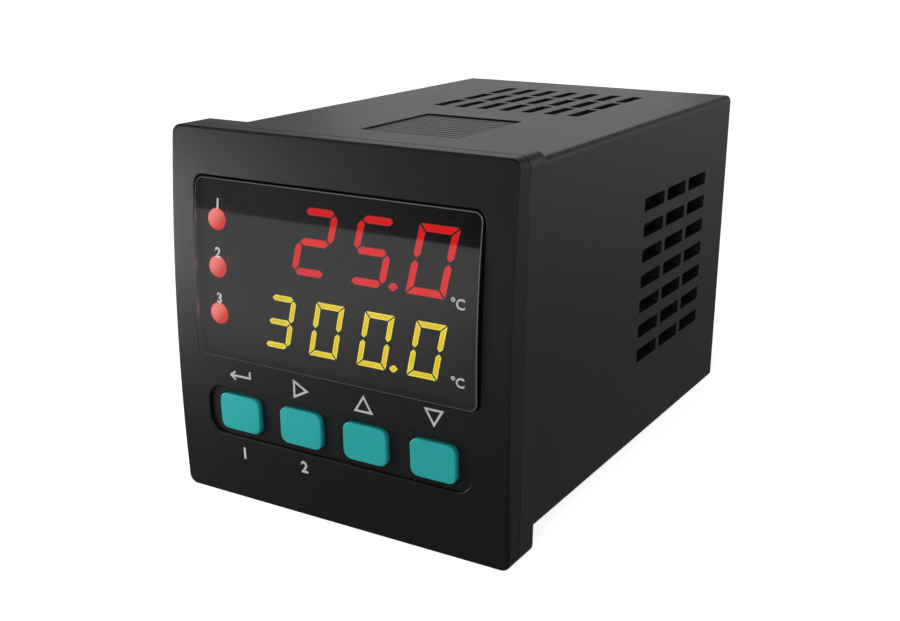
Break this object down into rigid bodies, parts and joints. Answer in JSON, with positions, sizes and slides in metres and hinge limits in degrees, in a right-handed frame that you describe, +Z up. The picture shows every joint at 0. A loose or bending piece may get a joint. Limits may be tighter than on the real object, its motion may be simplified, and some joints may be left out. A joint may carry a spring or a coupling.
{
  "type": "panel-mounted pid temperature controller",
  "caption": "Square panel controller with a bowed dark bezel, tinted window over red and yellow seven-segment displays, status lamps, teal keys, vented sleeve and rear terminals.",
  "frame": {"origin": "centre of the collar's rear face, where it seats on the panel", "axes": "+Y from the front backwards through the panel, +X to the right as seen from the front, +Z up"},
  "size_m": [0.048, 0.0876, 0.048],
  "materials": {
    "housing_plastic": "satin",
    "bezel_plastic": "satin",
    "window_tinted": "polished, dark tint",
    "board": "solder mask",
    "terminal_plastic": "satin",
    "clamp_steel": "zinc plated",
    "screw_steel": "nickel plated",
    "tinned_brass": "tin plated",
    "header_plastic": "moulded",
    "ferrite": "sintered ferrite",
    "winding_tape": "polyester tape",
    "capacitor_sleeve": "shrink sleeve",
    "film_box": "moulded box",
    "varistor_coat": "dipped epoxy",
    "chip_epoxy": "moulded epoxy",
    "relay_case": "moulded",
    "crystal_can": "drawn can",
    "coupler_epoxy": "moulded epoxy",
    "display_body": "moulded, painted face",
    "segments_red": "cast epoxy, lit",
    "segments_yellow": "cast epoxy, lit",
    "segments_dark": "cast epoxy, unlit",
    "key_teal": "satin",
    "switch_button": "moulded",
    "lamp_red": "cast epoxy"
  },
  "bodies": {
    "controller": {"bulk_capacitor": "capacitor_sleeve", "clock_crystal": "crystal_can", "controller_chip": "chip_epoxy", "converter_chip": "chip_epoxy", "display_board": "board", "display_window": "window_tinted", "film_capacitor": "film_box", "front_bezel": "bezel_plastic", "header_pins": "tinned_brass", "housing": "housing_plastic", "lamp_holder": "header_plastic", "main_board": "board", "main_header": "header_plastic", "mains_fuse": "header_plastic", "optical_couplers": "coupler_epoxy", "output_capacitor_1": "capacitor_sleeve", "output_capacitor_2": "capacitor_sleeve", "power_board": "board", "power_header": "header_plastic", "process_display": "display_body", "process_segments_dark": "segments_dark", "process_segments_lit": "segments_red", "rear_cover": "housing_plastic", "rectifier_bridge": "chip_epoxy", "regulator_chip": "chip_epoxy", "relay_1": "relay_case", "relay_2": "relay_case", "setpoint_display": "display_body", "setpoint_segments_dark": "segments_dark", "setpoint_segments_lit": "segments_yellow", "status_lamp_lower": "lamp_red", "status_lamp_middle": "lamp_red", "status_lamp_upper": "lamp_red", "switch_case_down": "header_plastic", "switch_case_set": "header_plastic", "switch_case_shift": "header_plastic", "switch_case_up": "header_plastic", "terminal_block_left": "terminal_plastic", "terminal_block_right": "terminal_plastic", "terminal_board": "board", "terminal_clamps": "clamp_steel", "terminal_pins": "tinned_brass", "terminal_screws": "screw_steel", "transformer_bobbin": "header_plastic", "transformer_core": "ferrite", "transformer_winding": "winding_tape", "varistor": "varistor_coat"},
    "key_set_body": {"key_set": "key_teal", "switch_button_set": "switch_button"},
    "key_shift_body": {"key_shift": "key_teal", "switch_button_shift": "switch_button"},
    "key_up_body": {"key_up": "key_teal", "switch_button_up": "switch_button"},
    "key_down_body": {"key_down": "key_teal", "switch_button_down": "switch_button"}
  },
  "joints": [
    {"name": "set_key_press", "type": "slide", "parent": "controller", "child": "key_set_body", "axis": [0, 1, 0], "range_m": [0, 0.0003], "stiffness_N_per_m": 4000},
    {"name": "shift_key_press", "type": "slide", "parent": "controller", "child": "key_shift_body", "axis": [0, 1, 0], "range_m": [0, 0.0003], "stiffness_N_per_m": 4000},
    {"name": "up_key_press", "type": "slide", "parent": "controller", "child": "key_up_body", "axis": [0, 1, 0], "range_m": [0, 0.0003], "stiffness_N_per_m": 4000},
    {"name": "down_key_press", "type": "slide", "parent": "controller", "child": "key_down_body", "axis": [0, 1, 0], "range_m": [0, 0.0003], "stiffness_N_per_m": 4000}
  ]
}
